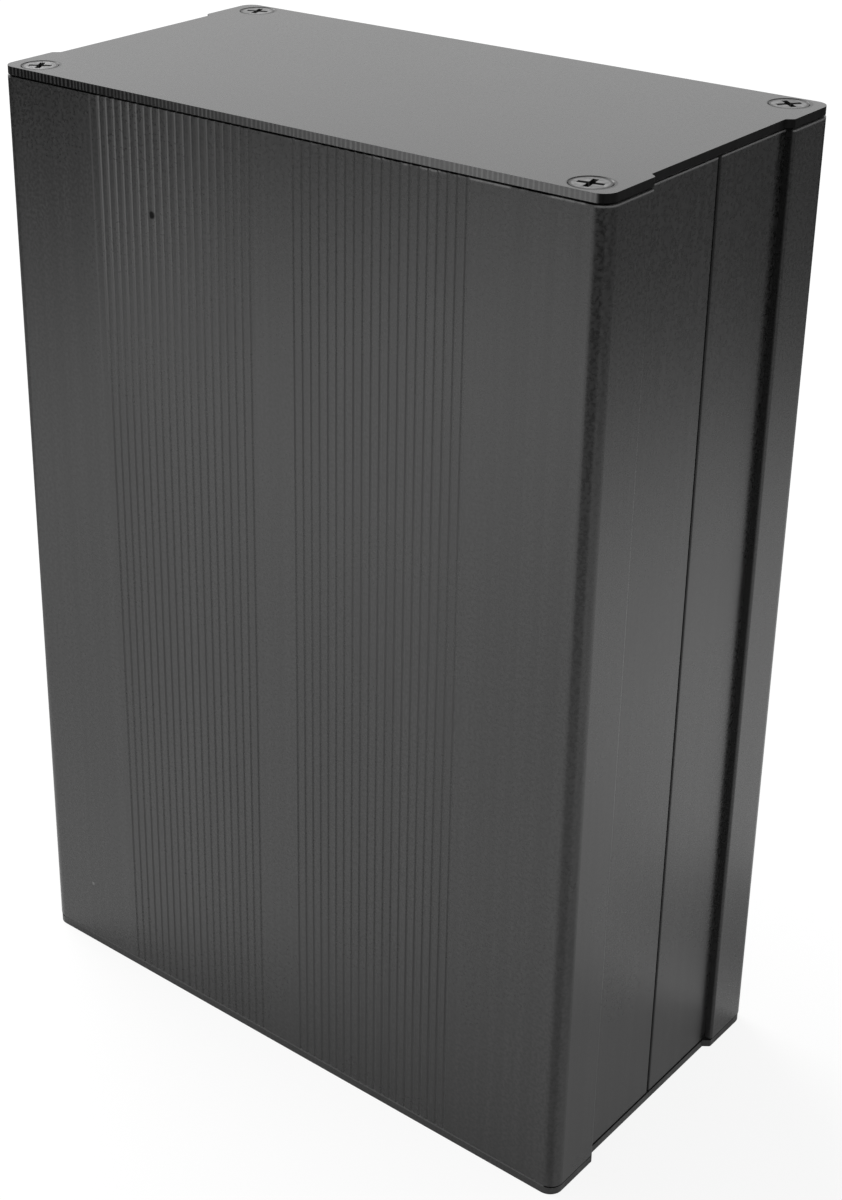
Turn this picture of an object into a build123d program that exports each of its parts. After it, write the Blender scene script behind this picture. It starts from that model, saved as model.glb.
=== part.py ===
"""Split-body instrument enclosure: two identical extruded halves, two end plates and eight screws.

Millimetres. The enclosure stands on one end plate. Z runs along the extrusion from the underside
of that plate, X across the broad ribbed faces, Y through the depth, and the front half faces -Y.
"""

from build123d import *
import math
import os

# Overall size
width = 106.0
depth = 55.0
body_length = 150.0
plate_thickness = 1.5
corner_radius = 2.2

# Narrow sides of the body: a shallow recess between two proud flanges
flange_width = 10.3
recess_depth = 1.2
step_run = 0.2
step_edge_radius = 0.5

# End plates: a little narrower than the body, with a gentler step and broken inner edges
plate_side_inset = 0.1
plate_recess_depth = 1.0
plate_step_run = 0.8
plate_edge_break = 0.3

# Walls of the extrusion
face_wall = 2.0
side_wall = 2.0

# Grooves with sloping sides that rib the broad faces, in two bands about a plain strip
groove_width = 0.6
groove_depth = 0.18
groove_side_angle = 50.0
groove_pitch = 1.5
grooves_per_band = 20
plain_strip = 8.0

# Tongue-and-groove seam between the halves, with a narrow open slot on the outside
tongue_width = 1.2
tongue_height = 1.5
tongue_tip_radius = 0.3
seam_cheek = 1.0
seam_fit = 0.1
seam_root = 1.2
seam_gap = 0.3
seam_gap_depth = 0.6
seam_edge_radius = 0.25

# Ledges on the inner side walls, in pairs that hold the edges of a circuit board
board_slot_width = 1.9
board_slot_pitch = 6.0
board_slots_per_half = 2
first_slot_from_face = 12.5
ledge_thickness = 1.2
ledge_reach = 2.0

# Screws and the open screw ports that run down the four corners
screw_from_side = 4.8
screw_from_face = 3.4
screw_length = 8.0
screw_core_diameter = 2.5
head_diameter = 5.4
head_rim = 0.15
countersink_diameter = 5.8
clearance_hole_diameter = 3.4
thread_fit = 0.05
port_wall = 1.4
port_mouth = 1.4
port_lead_in = 0.5

# Cross recess of the screws
recess_span = 3.5
recess_slot = 0.8
recess_slot_depth = 1.0
recess_taper = 12.0
recess_core_width = 1.3
recess_core_depth = 1.7
recess_core_taper = 16.0

# How far each screw happens to be turned, in degrees
screw_turns = {
    "top_screw_front_left": 33.0,
    "top_screw_front_right": 12.0,
    "top_screw_rear_left": 20.0,
    "top_screw_rear_right": 50.0,
    "bottom_screw_front_left": 5.0,
    "bottom_screw_front_right": 64.0,
    "bottom_screw_rear_left": 41.0,
    "bottom_screw_rear_right": 27.0,
}

# Places that several pieces share
half_width = width / 2
half_depth = depth / 2
total_height = body_length + 2 * plate_thickness
recessed_x = half_width - recess_depth
inner_x = recessed_x - side_wall
screw_x = half_width - screw_from_side
screw_y = half_depth - screw_from_face
seam_wall = tongue_width + 2 * seam_fit + 2 * seam_cheek
tongue_x = recessed_x - seam_wall / 2
bead_height = tongue_height + seam_fit + seam_root
bore_radius = screw_core_diameter / 2 + thread_fit
head_sink = (countersink_diameter - head_diameter) / 2 - head_rim


def half_outline(side_inset, depth_of_recess, run_of_step):
    """The outer outline of one half, broad face towards -Y and seam on the X axis."""
    flange_x = half_width - side_inset
    foot_x = flange_x - depth_of_recess
    right_side = [
        (flange_x, -half_depth),
        (flange_x, -half_depth + flange_width),
        (foot_x, -half_depth + flange_width + run_of_step),
        (foot_x, 0),
    ]
    left_side = [(-x, y) for x, y in reversed(right_side)]
    with BuildSketch() as outline:
        with BuildLine():
            Polyline(*right_side, *left_side, close=True)
        make_face()
        fillet(vertices().group_by(Axis.Y)[1], step_edge_radius)
        fillet(vertices().group_by(Axis.Y)[0], corner_radius)
    return outline.sketch


def groove_places():
    """Where the grooves open on the broad face."""
    reach = [plain_strip / 2 + step * groove_pitch for step in range(grooves_per_band)]
    return [(side * x, -half_depth) for side in (-1, 1) for x in reach]


def ledge_heights():
    """Y of every ledge of one half: one on each side of each board slot."""
    offset = (board_slot_width + ledge_thickness) / 2
    slots = [first_slot_from_face + step * board_slot_pitch for step in range(board_slots_per_half)]
    return [-half_depth + slot + side * offset for slot in slots for side in (-1, 1)]


def extruded_half(section_plane, label):
    """One half of the body, extruded from its section in the given plane."""
    port_places = [(-screw_x, -screw_y), (screw_x, -screw_y)]
    inner_height = half_depth - face_wall

    # The hollow in section: the cavity, less the ledges, seam beads and port walls, plus the ports
    with BuildSketch(section_plane) as hollow:
        Rectangle(2 * inner_x, inner_height, align=(Align.CENTER, Align.MAX))
        with Locations([(side * inner_x, y) for side in (-1, 1) for y in ledge_heights()]):
            Rectangle(2 * ledge_reach, ledge_thickness, mode=Mode.SUBTRACT)
        with Locations((-inner_x, 0), (inner_x, 0)):
            Rectangle(2 * (seam_wall - side_wall), 2 * bead_height, mode=Mode.SUBTRACT)
        with Locations(port_places):
            Circle(bore_radius + port_wall, mode=Mode.SUBTRACT)
        with Locations(port_places):
            Circle(bore_radius)
        for x, y in port_places:
            mouth_turn = math.degrees(math.atan2(1, -math.copysign(1, x)))
            with Locations((x, y)):
                Rectangle(
                    bore_radius + 2 * port_wall,
                    port_mouth,
                    rotation=mouth_turn,
                    align=(Align.MIN, Align.CENTER),
                )

    with BuildPart() as half:
        with BuildSketch(section_plane):
            add(half_outline(0, recess_depth, step_run))
            with Locations((-recessed_x, 0), (recessed_x, 0)):
                Rectangle(2 * seam_gap_depth, seam_gap, mode=Mode.SUBTRACT)
            slot_corners = vertices().group_by(Axis.Y)[-2].sort_by(Axis.X)
            fillet([slot_corners[0], slot_corners[-1]], seam_edge_radius)
            add(hollow.sketch_local, mode=Mode.SUBTRACT)
            with Locations((-tongue_x, 0)):
                Rectangle(tongue_width, 2 * tongue_height)
            fillet(vertices().group_by(Axis.Y)[-1], tongue_tip_radius)
            with Locations((tongue_x, 0)):
                Rectangle(
                    tongue_width + 2 * seam_fit,
                    2 * (tongue_height + seam_fit),
                    mode=Mode.SUBTRACT,
                )
            with Locations(groove_places()):
                Trapezoid(
                    groove_width,
                    groove_depth,
                    groove_side_angle,
                    align=(Align.CENTER, Align.MIN),
                    mode=Mode.SUBTRACT,
                )
        extrude(amount=body_length)

        # Lead-ins where the screws enter the ports at both ends
        far_end = section_plane.offset(body_length)
        near_end = Plane(section_plane.origin, -section_plane.x_dir, -section_plane.z_dir)
        for end_plane in (far_end, near_end):
            with Locations(end_plane):
                with Locations(port_places):
                    Cone(
                        bore_radius,
                        bore_radius + port_lead_in,
                        port_lead_in,
                        align=(Align.CENTER, Align.CENTER, Align.MAX),
                        mode=Mode.SUBTRACT,
                    )
    half.part.label = label
    return half.part


def end_plate(outer_face, label):
    """A flat plate with the body's outline, its countersinks opening on the given outer face."""
    with BuildPart() as plate:
        with BuildSketch(outer_face):
            add(half_outline(plate_side_inset, plate_recess_depth, plate_step_run))
            mirror(about=Plane.XZ)
        extrude(amount=-plate_thickness)
        inner_face = faces().sort_by(Axis(outer_face.origin, outer_face.z_dir))[0]
        chamfer(inner_face.edges(), plate_edge_break)
        with Locations(outer_face):
            with GridLocations(2 * screw_x, 2 * screw_y, 2, 2):
                CounterSinkHole(
                    clearance_hole_diameter / 2,
                    countersink_diameter / 2,
                    plate_thickness,
                    90,
                )
    plate.part.label = label
    return plate.part


def countersunk_screw(head_plane, turn, label):
    """A cross-recess screw whose head lies in the given plane, with the plane's normal outwards."""
    head_radius = head_diameter / 2
    core_radius = screw_core_diameter / 2
    cone_end = head_rim + head_radius - core_radius
    profile_plane = Plane(head_plane.origin, head_plane.x_dir, -head_plane.y_dir)
    with BuildPart() as screw:
        with BuildSketch(profile_plane):
            with BuildLine():
                Polyline(
                    (0, 0),
                    (head_radius, 0),
                    (head_radius, -head_rim),
                    (core_radius, -cone_end),
                    (core_radius, -screw_length),
                    (0, -screw_length),
                    close=True,
                )
            make_face()
        revolve(axis=Axis(head_plane.origin, head_plane.z_dir))
        with BuildSketch(head_plane.rotated((0, 0, turn))):
            Rectangle(recess_span, recess_slot)
            Rectangle(recess_slot, recess_span)
        extrude(amount=-recess_slot_depth, taper=recess_taper, mode=Mode.SUBTRACT)
        with BuildSketch(head_plane.rotated((0, 0, turn + 45))):
            Rectangle(recess_core_width, recess_core_width)
        extrude(amount=-recess_core_depth, taper=recess_core_taper, mode=Mode.SUBTRACT)
    screw.part.label = label
    return screw.part


def screw_place(name):
    """The plane of a screw's head, worked out from the corner that its name gives."""
    x = screw_x if name.endswith("right") else -screw_x
    y = screw_y if "rear" in name else -screw_y
    if name.startswith("top"):
        return Plane((x, y, total_height - head_sink), z_dir=(0, 0, 1))
    return Plane((x, y, head_sink), x_dir=(1, 0, 0), z_dir=(0, 0, -1))


body_base = (0, 0, plate_thickness)
pieces = [
    extruded_half(Plane(body_base, x_dir=(1, 0, 0), z_dir=(0, 0, 1)), "front_shell"),
    extruded_half(Plane(body_base, x_dir=(-1, 0, 0), z_dir=(0, 0, 1)), "rear_shell"),
    end_plate(Plane.XY.offset(total_height), "top_end_plate"),
    end_plate(Plane((0, 0, 0), x_dir=(1, 0, 0), z_dir=(0, 0, -1)), "bottom_end_plate"),
]
pieces += [countersunk_screw(screw_place(name), turn, name) for name, turn in screw_turns.items()]

os.makedirs("parts", exist_ok=True)
for piece in pieces:
    export_step(piece, f"parts/{piece.label}.step")
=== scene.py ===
import math

import bpy
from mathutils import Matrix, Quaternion, Vector

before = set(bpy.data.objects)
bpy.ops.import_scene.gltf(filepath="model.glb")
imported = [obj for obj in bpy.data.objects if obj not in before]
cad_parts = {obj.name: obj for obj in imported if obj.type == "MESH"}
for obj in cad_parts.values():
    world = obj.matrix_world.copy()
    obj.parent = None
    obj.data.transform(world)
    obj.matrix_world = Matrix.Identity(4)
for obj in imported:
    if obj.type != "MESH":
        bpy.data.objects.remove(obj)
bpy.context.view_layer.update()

MM = 0.001

# Camera, in metres and degrees
CAMERA_PLACE = Vector((0.18108, -0.23181, 0.22526))
CAMERA_AZIMUTH = 41.482
CAMERA_ELEVATION = 24.347
CAMERA_ROLL = -0.717
CAMERA_LENS = 63.05
CAMERA_SHIFT = (0.12, -0.104)
CAMERA_CLIP = (0.01, 20.0)

# Studio light, in metres and watts, with the walls' levels in reflections from the
# horizon up to a rise, which is the Z of a direction
WORLD_AMBIENT = 0.55
SKY_RISE = 0.22
SKY_LEVELS = (0.4, 1.0)
KEY_PLACE = (-1.0, 0.15, 1.0)
KEY_AIM = (0.0, 0.0, 0.07)
KEY_SIZE = 1.1
KEY_POWER = 24.0

# Floor
FLOOR_SIZE = 6.0
FLOOR_COLOUR = 0.96
FLOOR_GLOW_SEEN = 0.88
FLOOR_GLOW_REFLECTED = 0.12

# Painted light and shade on the floor, seen only in reflections: its levels, with places and
# distances in metres
POOL_CENTRE = (-0.07, -0.13, 0.0)
POOL_REACH = (0.22, 0.6)
POOL_LEVELS = (1.0, 0.16)
FOOT_CENTRE = (-0.02, -0.02, 0.0)
FOOT_REACH = (0.12, 0.3)
FOOT_LEVELS = (0.8, 1.14)
PATCH_CENTRE = (0.062, 0.05, 0.0)
PATCH_REACH = (0.006, 0.03)
PATCH_LEVELS = (0.6, 1.0)
LEFT_AIM = (0.85, -0.53, 0.0)
LEFT_EDGE = (-0.02, -0.18)
LEFT_LEVELS = (1.0, 0.2)
NEAR_CORNER = (0.053, -0.0275, 0.0)
WEDGE_AIM = (0.375, -0.927, 0.0)
WEDGE_SIDES = (0.743, 0.883)
WEDGE_REACH = (0.08, 0.3)
WEDGE_LEVELS = (0.68, 0.25)
GLINT_AIM = (0.48, 0.877, 0.0)
GLINT_SIDES = (0.3, 0.8)
GLINT_REACH = (0.028, 0.06)
GLINT_LEVELS = (1.3, 1.0)

# Measures of the object, in millimetres
GROOVE_PITCH = 1.5
SEAM_Y = 0.1
SCREW_X = 48.2
SCREW_Y = 24.1

# Where soft changes on the object start and end, in millimetres
CUT_END_Z = (151.15, 151.4)
CUT_FADE_X = (-10.0, 40.0)
BAND_END_X = (34.0, 36.0)
OUTER_WALL_X = (50.4, 51.2)
SIDE_SKIN_X = (50.8, 51.6)
RECESS_END_Y = (19.0, 20.0)
FROM_SEAM = (0.3, 0.6)
GROOVE_RISE_Z = (25.0, 95.0)
HIGHLIGHT_CORNER_Z = (90.0, 140.0)
HIGHLIGHT_CORNER_X = (8.0, -28.0)
HIGHLIGHT_CORNER_Y = (-20.0, -25.0)
UPPER_PLATE_Z = (60.0, 90.0)
LONG_EDGE_GRADE_X = (-45.0, 40.0)
PLATE_RIM_X = (51.0, 51.3)
PLATE_RIM_Y = (27.0, 27.1)
PLATE_RIM_Z = (100.0, 120.0)
SINK_OFFSET = 0.15
SINK_REACH = (3.0, 3.2)
HEAD_RIM = (2.25, 2.5)

# Specks on the front face, each with its place and radius in millimetres
SPECK_DARK = ((-22.8, -27.5, 135.8), 0.75)
SPECK_LIGHT = ((-43.0, -27.5, 12.0), 0.4)

# How far a surface faces some way, where soft changes start and end
GROOVE_SIDE_FACING = (0.25, 0.6)
STEP_WALL_FACING = (0.8, 0.97)
EDGE_FACING = (0.35, 0.9)
LONG_EDGE_FACING = (0.9, 0.995)
SLOPED_FACING = 0.707
FROM_SLOPED = (0.1, 0.2)
HEAD_TOP_FACING = (0.9, 0.99)

# Noise, in cells per millimetre
BODY_GRAIN_SCALE = 2.0
PLATE_GRAIN_SCALE = 2.4
FINE_SCALE = 4.5
DIE_LINE_SCALE = 0.9
DIE_LINE_STRETCH = (1, 1, 0.006)
BODY_CLOUD_SCALE = 0.03
PLATE_CLOUD_SCALE = 0.04
CLOUD_SPREAD = 0.2
BROKEN_SCALE = 0.45
BROKEN_SPREAD = 0.1
WANDER_SCALE = 0.25
WANDER_STRETCH = (1, 1, 0.1)
MARK_SCALE = 0.35
MARK_STRETCH = (1, 1, 0.2)
HEAD_GRAIN_SCALE = 4.0
HEAD_WEAR_SCALE = 1.2

# Finishes, with painted highlights and shade among the colours, each pair the two ends between
# which a value varies
OXIDE_IOR = 1.65
BODY_COLOUR = (0.004, 0.017)
BODY_LINE_SHADE = (0.8, 1.2)
BODY_CLOUD_SHADE = (0.9, 1.1)
BODY_ROUGHNESS = (0.27, 0.32)
BODY_CLOUD_ROUGHNESS = (-0.015, 0.015)
BODY_LINE_HEIGHT = 0.6
BODY_RELIEF = 0.002
CUT_HIGHLIGHT_COLOUR = 0.12
SPECK_LIGHT_COLOUR = 0.09
SPECK_DARK_COLOUR = 0.001
SPECK_DARK_ROUGHNESS = 0.9
SPECK_DARK_METAL = 0.65
GROOVE_LIFT_COLOUR = (0.032, 0.052)
GROOVE_HIGHLIGHT_COLOUR = 0.15
RIB_HIGHLIGHT_COLOUR = 0.036
RIB_HIGHLIGHT_WAVE = (0.55, 0.95)
CREASE_SHADE_COLOUR = 0.004
CREASE_SHADE_METAL = 0.35
PLATE_COLOUR = (0.008, 0.03)
PLATE_CLOUD_SHADE = (0.92, 1.08)
PLATE_ROUGHNESS = (0.2, 0.28)
PLATE_EDGE_ROUGHNESS = (0.5, 0.36)
PLATE_EDGE_METAL = (0.88, 0.0)
PLATE_FINE_HEIGHT = 0.12
PLATE_RELIEF = 0.03
MARK_RHYTHM = 8.4
MARK_WANDER = 9.0
MARK_WAVE = (-0.3, 0.9)
MARK_STRENGTH = (0.5, 1.0)
MARKS_TOWARDS_MINUS_X = (0.001, 0.075)
MARKS_TOWARDS_PLUS_X = (0.08, 0.13)
SHORT_EDGE_COLOUR = 0.008
LOWER_EDGE_COLOUR = 0.01
JOINT_SHADE_COLOUR = 0.004
JOINT_FRONT_LEVELS = (0.0, 0.6)
SINK_SHADE_COLOUR = 0.003
SINK_SHADE_METAL = 0.8
HEAD_COLOUR = (0.11, 0.24)
HEAD_RIM_SHADE_COLOUR = 0.01
SCREW_SIDE_COLOUR = 0.03
SCREW_ROUGHNESS = (0.24, 0.36)
SCREW_RELIEF = 0.01
RING_RHYTHM = 42.0
RING_HEIGHT = 0.3


def make_camera():
    """The camera stands to the front right, above the top plate."""
    azimuth = math.radians(CAMERA_AZIMUTH)
    elevation = math.radians(CAMERA_ELEVATION)
    forward = Vector(
        (
            -math.sin(azimuth) * math.cos(elevation),
            math.cos(azimuth) * math.cos(elevation),
            -math.sin(elevation),
        )
    )
    data = bpy.data.cameras.new("camera")
    data.lens = CAMERA_LENS
    data.shift_x, data.shift_y = CAMERA_SHIFT
    data.clip_start, data.clip_end = CAMERA_CLIP
    camera = bpy.data.objects.new("camera", data)
    camera.rotation_mode = "QUATERNION"
    level = forward.to_track_quat("-Z", "Y")
    camera.rotation_quaternion = level @ Quaternion((0, 0, 1), math.radians(CAMERA_ROLL))
    camera.location = CAMERA_PLACE
    bpy.context.scene.collection.objects.link(camera)
    bpy.context.scene.camera = camera


class Nodes:
    """A short way to write a node tree."""

    def __init__(self, tree):
        self.tree = tree
        tree.nodes.clear()

    def add(self, kind, inputs=None, **settings):
        node = self.tree.nodes.new(kind)
        for name, value in settings.items():
            setattr(node, name, value)
        for name, value in (inputs or {}).items():
            if isinstance(value, bpy.types.NodeSocket):
                self.tree.links.new(value, node.inputs[name])
            else:
                node.inputs[name].default_value = value
        return node

    def math(self, operation, a, b=0.0):
        return self.add("ShaderNodeMath", {0: a, 1: b}, operation=operation).outputs[0]

    def product(self, first, *others):
        for other in others:
            first = self.math("MULTIPLY", first, other)
        return first

    def vector(self, operation, a, b=(0, 0, 0)):
        return self.add("ShaderNodeVectorMath", {0: a, 1: b}, operation=operation)

    def parts(self, vector):
        """X, Y and Z of a vector."""
        outputs = self.add("ShaderNodeSeparateXYZ", {0: vector}).outputs
        return outputs["X"], outputs["Y"], outputs["Z"]

    def ramp(self, value, start, end, low=0.0, high=1.0, shape="SMOOTHSTEP"):
        """A change from low to high as the value goes from start to end."""
        return self.add(
            "ShaderNodeMapRange",
            {"Value": value, "From Min": start, "From Max": end, "To Min": low, "To Max": high},
            interpolation_type=shape,
        ).outputs["Result"]

    def noise(self, place, scale, detail=2.0, stretch=(1, 1, 1)):
        """Noise about 0.5, with the scale in cells per millimetre."""
        stretched = self.vector("MULTIPLY", place, stretch).outputs[0]
        return self.add(
            "ShaderNodeTexNoise", {"Vector": stretched, "Scale": scale, "Detail": detail}
        ).outputs["Fac"]

    def patches(self, place, scale, low=0.0, high=1.0, spread=0.16, detail=3.0, stretch=(1, 1, 1)):
        """Noise stretched to its full contrast between two values."""
        value = self.noise(place, scale, detail, stretch)
        return self.ramp(value, 0.5 - spread, 0.5 + spread, low, high)

    def mix(self, share, a, b):
        return self.add(
            "ShaderNodeMix", {"Factor": share, "A": a, "B": b}, data_type="FLOAT"
        ).outputs["Result"]

    def millimetres(self):
        """The place on the object in millimetres, whole and as X, Y and Z."""
        place = self.add("ShaderNodeTexCoord").outputs["Object"]
        scaled = self.add("ShaderNodeVectorMath", {0: place, "Scale": 1 / MM}, operation="SCALE")
        return scaled.outputs[0], *self.parts(scaled.outputs[0])

    def facing(self):
        """X, Y and Z of the direction in which the surface faces."""
        return self.parts(self.add("ShaderNodeTexCoord").outputs["Normal"])

    def from_screw(self, x, y):
        """Distance in plan from the axis of the nearest screw."""
        across = self.math("SUBTRACT", self.math("ABSOLUTE", x), SCREW_X)
        along = self.math("SUBTRACT", self.math("ABSOLUTE", y), SCREW_Y)
        squares = self.math("ADD", self.product(across, across), self.product(along, along))
        return self.math("SQRT", squares)

    def near_point(self, place, point, radius):
        """1 at a point, falling softly to 0 at the radius."""
        distance = self.vector("DISTANCE", place, point).outputs["Value"]
        return self.ramp(distance, radius * 0.5, radius, 1.0, 0.0)

    def grey(self, value):
        return self.add("ShaderNodeCombineColor", {0: value, 1: value, 2: value}).outputs[0]


def new_material(name):
    material = bpy.data.materials.new(name)
    material.use_nodes = True
    return material, Nodes(material.node_tree)


def ray_kinds(nodes):
    """Two switches: rays of the camera and through glass, and rays of reflections."""
    path = nodes.add("ShaderNodeLightPath").outputs
    seen = nodes.math("MAXIMUM", path["Is Camera Ray"], path["Is Transmission Ray"])
    return seen, path["Is Glossy Ray"]


def make_world():
    """Even white light, with walls that reflections see darker near the floor."""
    world = bpy.data.worlds.new("studio")
    bpy.context.scene.world = world
    world.use_nodes = True
    nodes = Nodes(world.node_tree)
    seen, glossy = ray_kinds(nodes)
    ambient = nodes.add("ShaderNodeBackground", {"Color": (1, 1, 1, 1), "Strength": WORLD_AMBIENT})
    towards = nodes.add("ShaderNodeTexCoord").outputs["Generated"]
    rise = nodes.parts(towards)[2]
    walls = nodes.ramp(rise, 0.0, SKY_RISE, *SKY_LEVELS)
    strength = nodes.mix(seen, walls, 1.0)
    white = nodes.add("ShaderNodeBackground", {"Color": (1, 1, 1, 1), "Strength": strength})
    share = nodes.math("MAXIMUM", seen, glossy)
    mix = nodes.add("ShaderNodeMixShader", {0: share, 1: ambient.outputs[0], 2: white.outputs[0]})
    nodes.add("ShaderNodeOutputWorld", {"Surface": mix.outputs[0]})


def level_about(nodes, place, centre, reach, levels):
    """A level that changes with the distance from a centre."""
    distance = nodes.vector("DISTANCE", place, centre).outputs["Value"]
    return nodes.ramp(distance, *reach, *levels)


def level_in_sector(nodes, out, aim, sides, reach, levels):
    """A level that changes with the distance inside a sector, and is 1 outside it."""
    distance = nodes.vector("LENGTH", out).outputs["Value"]
    heading = nodes.vector("NORMALIZE", out).outputs[0]
    inside = nodes.ramp(nodes.vector("DOT_PRODUCT", heading, aim).outputs["Value"], *sides)
    return nodes.mix(inside, 1.0, nodes.ramp(distance, *reach, *levels))


def painted_reflected_light(nodes):
    """The floor's painted light and shade, seen only in reflections: a pool of light that falls
    away from the object, painted shade near its foot and to one side, and a darker and a lighter
    wedge out from the near corner.
    """
    place = nodes.add("ShaderNodeNewGeometry").outputs["Position"]
    pool = level_about(nodes, place, POOL_CENTRE, POOL_REACH, POOL_LEVELS)
    foot = level_about(nodes, place, FOOT_CENTRE, FOOT_REACH, FOOT_LEVELS)
    patch = level_about(nodes, place, PATCH_CENTRE, PATCH_REACH, PATCH_LEVELS)
    leftward = nodes.vector("DOT_PRODUCT", place, LEFT_AIM).outputs["Value"]
    left = nodes.ramp(leftward, *LEFT_EDGE, *LEFT_LEVELS, shape="LINEAR")
    # Painted shade and light out from the near corner: a darker wedge of floor and a lighter one
    out = nodes.vector("SUBTRACT", place, NEAR_CORNER).outputs[0]
    wedge = level_in_sector(nodes, out, WEDGE_AIM, WEDGE_SIDES, WEDGE_REACH, WEDGE_LEVELS)
    glint = level_in_sector(nodes, out, GLINT_AIM, GLINT_SIDES, GLINT_REACH, GLINT_LEVELS)
    return nodes.product(pool, foot, left, patch, wedge, glint)


def make_floor():
    """White paper that keeps the object's shadow, with painted light and shade seen only in
    reflections, where it darkens away from the object.
    """
    bpy.ops.mesh.primitive_plane_add(size=FLOOR_SIZE, location=(0, 0, 0))
    floor = bpy.context.object
    floor.name = "floor"
    material, nodes = new_material("floor_white")
    seen, glossy = ray_kinds(nodes)
    light = nodes.mix(glossy, 1.0, painted_reflected_light(nodes))
    paper = nodes.grey(nodes.product(light, FLOOR_COLOUR))
    matte = nodes.add("ShaderNodeBsdfDiffuse", {"Color": paper})
    glow = nodes.add("ShaderNodeEmission", {"Color": nodes.grey(light), "Strength": 1.0})
    direct = nodes.product(seen, FLOOR_GLOW_SEEN)
    reflected = nodes.product(glossy, FLOOR_GLOW_REFLECTED)
    share = nodes.math("MAXIMUM", direct, reflected)
    mix = nodes.add("ShaderNodeMixShader", {0: share, 1: matte.outputs[0], 2: glow.outputs[0]})
    nodes.add("ShaderNodeOutputMaterial", {"Surface": mix.outputs[0]})
    floor.data.materials.append(material)


def make_lamp(name, place, aim, size, power):
    data = bpy.data.lights.new(name, "AREA")
    data.shape = "SQUARE"
    data.size = size
    data.energy = power
    lamp = bpy.data.objects.new(name, data)
    lamp.location = place
    lamp.rotation_mode = "QUATERNION"
    lamp.rotation_quaternion = (Vector(aim) - Vector(place)).to_track_quat("-Z", "Y")
    bpy.context.scene.collection.objects.link(lamp)


def finish_material(nodes, colour, roughness, height, relief, metallic):
    """The shader itself, with the height times the relief in millimetres."""
    bump = nodes.add(
        "ShaderNodeBump", {"Strength": 1.0, "Distance": relief * MM, "Height": height}
    ).outputs[0]
    shader = nodes.add(
        "ShaderNodeBsdfPrincipled",
        {
            "Base Color": nodes.grey(colour),
            "Metallic": metallic,
            "Roughness": roughness,
            "IOR": OXIDE_IOR,
            "Normal": bump,
        },
    )
    nodes.add("ShaderNodeOutputMaterial", {"Surface": shader.outputs[0]})


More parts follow.
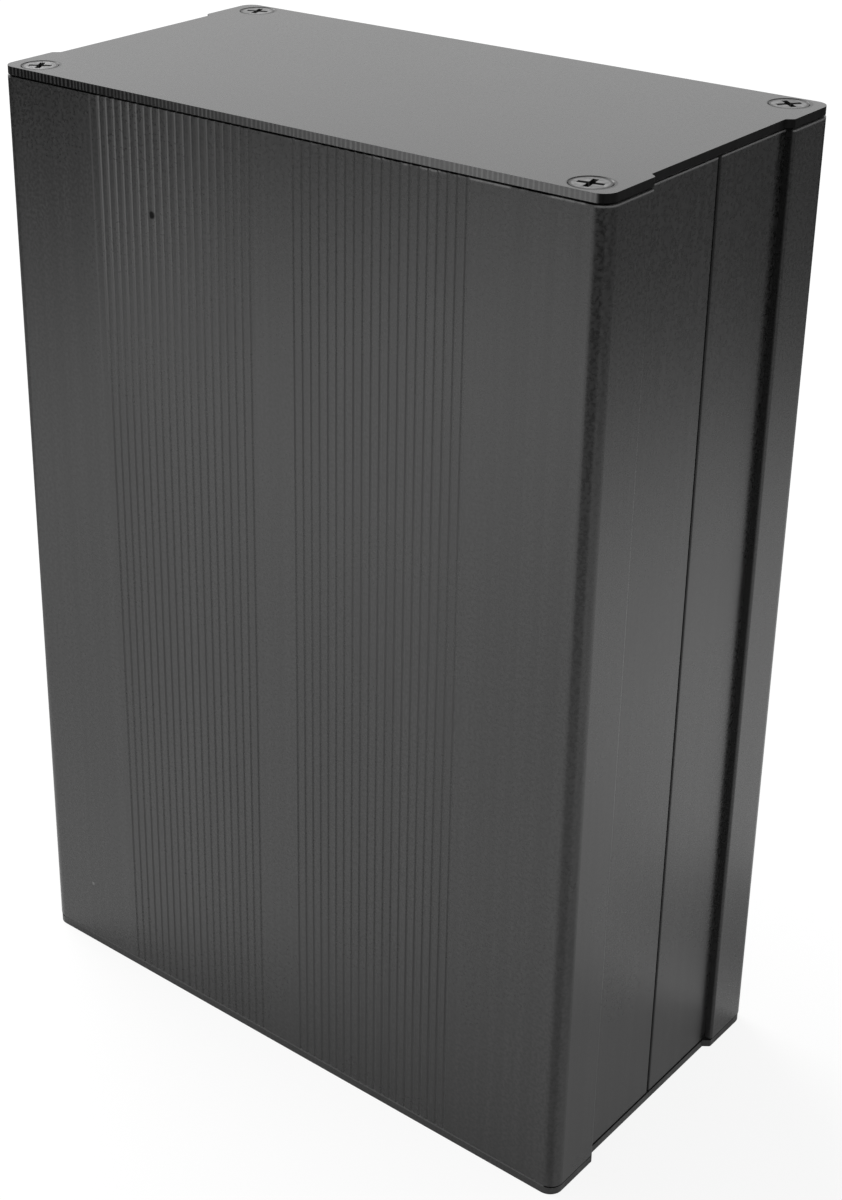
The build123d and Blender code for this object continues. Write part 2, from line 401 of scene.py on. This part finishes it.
def make_body_black():
    """Black anodised extrusion: fine grain and faint die lines along Z, with a painted highlight
    along the top cut edge, painted light on the sides of the grooves and painted shade in the seam
    and on the step walls.
    """
    material, nodes = new_material("body_black")
    place, x, y, z = nodes.millimetres()
    right, forward, _ = nodes.facing()
    across = nodes.math("ABSOLUTE", right)
    along = nodes.math("ABSOLUTE", forward)
    from_side = nodes.math("ABSOLUTE", x)
    from_middle = nodes.math("ABSOLUTE", y)
    grain = nodes.patches(place, BODY_GRAIN_SCALE, detail=2.0)
    fine = nodes.noise(place, FINE_SCALE, detail=1.0)
    die_lines = nodes.patches(place, DIE_LINE_SCALE, stretch=DIE_LINE_STRETCH)
    clouds = nodes.patches(place, BODY_CLOUD_SCALE, spread=CLOUD_SPREAD)

    # Near black, a little uneven
    colour = nodes.mix(grain, *BODY_COLOUR)
    colour = nodes.product(colour, nodes.mix(die_lines, *BODY_LINE_SHADE))
    colour = nodes.product(colour, nodes.mix(clouds, *BODY_CLOUD_SHADE))

    # Painted highlight: a thin light line along the top cut end, as an edge catching the light
    # from above would show, broken on the broad faces
    broken = nodes.patches(place, BROKEN_SCALE, spread=BROKEN_SPREAD, detail=2.0)
    broken = nodes.product(broken, nodes.ramp(x, *CUT_FADE_X))
    whole = nodes.ramp(from_side, *SIDE_SKIN_X)
    cut = nodes.ramp(z, *CUT_END_Z)
    cut = nodes.product(cut, nodes.mix(whole, broken, 1.0))
    colour = nodes.mix(cut, colour, CUT_HIGHLIGHT_COLOUR)
    colour = nodes.mix(nodes.near_point(place, *SPECK_LIGHT), colour, SPECK_LIGHT_COLOUR)

    # Painted light: the sides of the grooves are made a little paler, more so higher up, lifting
    # the shade in them
    band = nodes.ramp(from_side, *BAND_END_X, 1.0, 0.0)
    groove = nodes.product(nodes.ramp(across, *GROOVE_SIDE_FACING), band)
    colour = nodes.mix(groove, colour, nodes.ramp(z, *GROOVE_RISE_Z, *GROOVE_LIFT_COLOUR))

    # Painted highlight: near the upper left corner of the front their left-hand sides are painted
    # bright
    corner = nodes.product(nodes.ramp(z, *HIGHLIGHT_CORNER_Z), nodes.ramp(x, *HIGHLIGHT_CORNER_X))
    corner = nodes.product(corner, nodes.ramp(y, *HIGHLIGHT_CORNER_Y), band)
    groove_highlight = nodes.product(corner, nodes.ramp(right, *GROOVE_SIDE_FACING))
    colour = nodes.mix(groove_highlight, colour, GROOVE_HIGHLIGHT_COLOUR)

    # So is the edge of each rib beside them, a painted highlight too
    phase = nodes.product(x, 2 * math.pi / GROOVE_PITCH)
    wave = nodes.ramp(nodes.math("COSINE", phase), *RIB_HIGHLIGHT_WAVE)
    rib_highlight = nodes.product(wave, corner)
    colour = nodes.mix(rib_highlight, colour, RIB_HIGHLIGHT_COLOUR)

    # One dark speck on the front face
    speck = nodes.near_point(place, *SPECK_DARK)
    colour = nodes.mix(speck, colour, SPECK_DARK_COLOUR)

    # Painted shade: the seam's edges and the step walls of the recess are darkened, as shade falls
    # in these creases
    from_seam = nodes.math("ABSOLUTE", nodes.math("SUBTRACT", y, SEAM_Y))
    seam = nodes.ramp(from_seam, *FROM_SEAM, 1.0, 0.0)
    wall = nodes.ramp(along, *STEP_WALL_FACING)
    wall = nodes.product(wall, nodes.ramp(from_middle, *RECESS_END_Y, 1.0, 0.0))
    dull_and_shaded = nodes.product(nodes.ramp(from_side, *OUTER_WALL_X), nodes.math("MAXIMUM", seam, wall))
    colour = nodes.mix(dull_and_shaded, colour, CREASE_SHADE_COLOUR)

    # A share of metal under a nearly black colour takes the shine away
    crease_shade_metal = nodes.product(dull_and_shaded, CREASE_SHADE_METAL)
    metallic = nodes.math("MAXIMUM", crease_shade_metal, nodes.product(speck, SPECK_DARK_METAL))
    roughness = nodes.mix(grain, *BODY_ROUGHNESS)
    roughness = nodes.math("ADD", roughness, nodes.mix(clouds, *BODY_CLOUD_ROUGHNESS))
    roughness = nodes.mix(speck, roughness, SPECK_DARK_ROUGHNESS)
    height = nodes.math("ADD", fine, nodes.product(die_lines, BODY_LINE_HEIGHT))
    finish_material(nodes, colour, roughness, height, BODY_RELIEF, metallic)
    return material


def make_plate_black():
    """Black anodised sheet, with the upright marks of the shears on its long edges."""
    material, nodes = new_material("plate_black")
    place, x, y, z = nodes.millimetres()
    _, forward, up = nodes.facing()
    upward = nodes.math("ABSOLUTE", up)
    from_side = nodes.math("ABSOLUTE", x)
    from_middle = nodes.math("ABSOLUTE", y)
    grain = nodes.patches(place, PLATE_GRAIN_SCALE, detail=2.0)
    fine = nodes.noise(place, FINE_SCALE, detail=1.0)
    clouds = nodes.patches(place, PLATE_CLOUD_SCALE, spread=CLOUD_SPREAD)
    edge = nodes.ramp(upward, *EDGE_FACING, 1.0, 0.0)
    long_edge = nodes.ramp(nodes.math("ABSOLUTE", forward), *LONG_EDGE_FACING)
    upper = nodes.ramp(z, *UPPER_PLATE_Z)

    # The upright marks are about 0.75 mm apart, and wander a little
    wander = nodes.product(nodes.noise(place, WANDER_SCALE, stretch=WANDER_STRETCH), MARK_WANDER)
    phase = nodes.math("ADD", nodes.product(x, MARK_RHYTHM), wander)
    strength = nodes.patches(place, MARK_SCALE, *MARK_STRENGTH, stretch=MARK_STRETCH)
    shear = nodes.product(nodes.ramp(nodes.math("SINE", phase), *MARK_WAVE), strength)

    # The top plate's long edges grow lighter, with fainter marks and more shine, towards +X, and
    # the other edges are plain
    worn = nodes.product(nodes.ramp(x, *LONG_EDGE_GRADE_X), long_edge)
    marks = nodes.mix(worn, nodes.mix(shear, *MARKS_TOWARDS_MINUS_X), nodes.mix(shear, *MARKS_TOWARDS_PLUS_X))
    marks = nodes.mix(long_edge, SHORT_EDGE_COLOUR, marks)
    marks = nodes.mix(upper, LOWER_EDGE_COLOUR, marks)
    colour = nodes.mix(grain, *PLATE_COLOUR)
    colour = nodes.product(colour, nodes.mix(clouds, *PLATE_CLOUD_SHADE))
    colour = nodes.mix(edge, colour, marks)

    # Painted shade: the broken inner edges, which lie in the dark of the joint, are painted dark,
    # apart from the front one at the foot
    from_sloped = nodes.math("ABSOLUTE", nodes.math("SUBTRACT", upward, SLOPED_FACING))
    rim_x = nodes.ramp(from_side, *PLATE_RIM_X)
    rim_y = nodes.ramp(from_middle, *PLATE_RIM_Y)
    rim_y = nodes.product(rim_y, nodes.ramp(z, *PLATE_RIM_Z, *JOINT_FRONT_LEVELS))
    joint_shade = nodes.ramp(from_sloped, *FROM_SLOPED, 1.0, 0.0)
    joint_shade = nodes.product(joint_shade, nodes.math("MAXIMUM", rim_x, rim_y))
    colour = nodes.mix(joint_shade, colour, JOINT_SHADE_COLOUR)

    # Painted shade round the countersinks, most on their +X side
    beside = nodes.from_screw(nodes.math("SUBTRACT", x, SINK_OFFSET), y)
    sink_shade = nodes.ramp(beside, *SINK_REACH, 1.0, 0.0)
    colour = nodes.mix(sink_shade, colour, SINK_SHADE_COLOUR)

    # A share of metal under a nearly black colour takes the shine away
    dull_and_shaded = nodes.product(edge, upper, nodes.mix(worn, *PLATE_EDGE_METAL))
    metallic = nodes.math("MAXIMUM", joint_shade, dull_and_shaded)
    metallic = nodes.math("MAXIMUM", metallic, nodes.product(sink_shade, SINK_SHADE_METAL))
    roughness = nodes.mix(grain, *PLATE_ROUGHNESS)
    roughness = nodes.mix(edge, roughness, nodes.mix(shear, *PLATE_EDGE_ROUGHNESS))
    height = nodes.mix(edge, nodes.product(fine, PLATE_FINE_HEIGHT), nodes.product(shear, upper))
    finish_material(nodes, colour, roughness, height, PLATE_RELIEF, metallic)
    return material


def make_screw_black():
    """Blackened steel with fine turned rings on the head and painted shade at its rim."""
    material, nodes = new_material("screw_black")
    place, x, y, _ = nodes.millimetres()
    upward = nodes.math("ABSOLUTE", nodes.facing()[2])
    radius = nodes.from_screw(x, y)
    rings = nodes.math("SINE", nodes.product(radius, RING_RHYTHM))
    grain = nodes.noise(place, HEAD_GRAIN_SCALE, detail=3.0)
    level = nodes.ramp(upward, *HEAD_TOP_FACING)
    # Painted shade: the rim of the head is darkened where it meets the countersink
    rim = nodes.ramp(radius, *HEAD_RIM)
    worn = nodes.patches(place, HEAD_WEAR_SCALE, *HEAD_COLOUR)
    colour = nodes.mix(level, SCREW_SIDE_COLOUR, nodes.mix(rim, worn, HEAD_RIM_SHADE_COLOUR))
    roughness = nodes.mix(grain, *SCREW_ROUGHNESS)
    height = nodes.math("ADD", nodes.product(rings, RING_HEIGHT), grain)
    finish_material(nodes, colour, roughness, height, SCREW_RELIEF, metallic=1.0)
    return material


def dress(node_names, material):
    for name in node_names:
        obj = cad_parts[name]
        obj.data.materials.clear()
        obj.data.materials.append(material)


make_camera()
make_world()
make_floor()
make_lamp("key_light", KEY_PLACE, KEY_AIM, KEY_SIZE, KEY_POWER)

dress(["front_shell", "rear_shell"], make_body_black())
dress(["top_end_plate", "bottom_end_plate"], make_plate_black())
dress([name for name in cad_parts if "screw" in name], make_screw_black())

scene = bpy.context.scene
scene.view_settings.view_transform = "Standard"
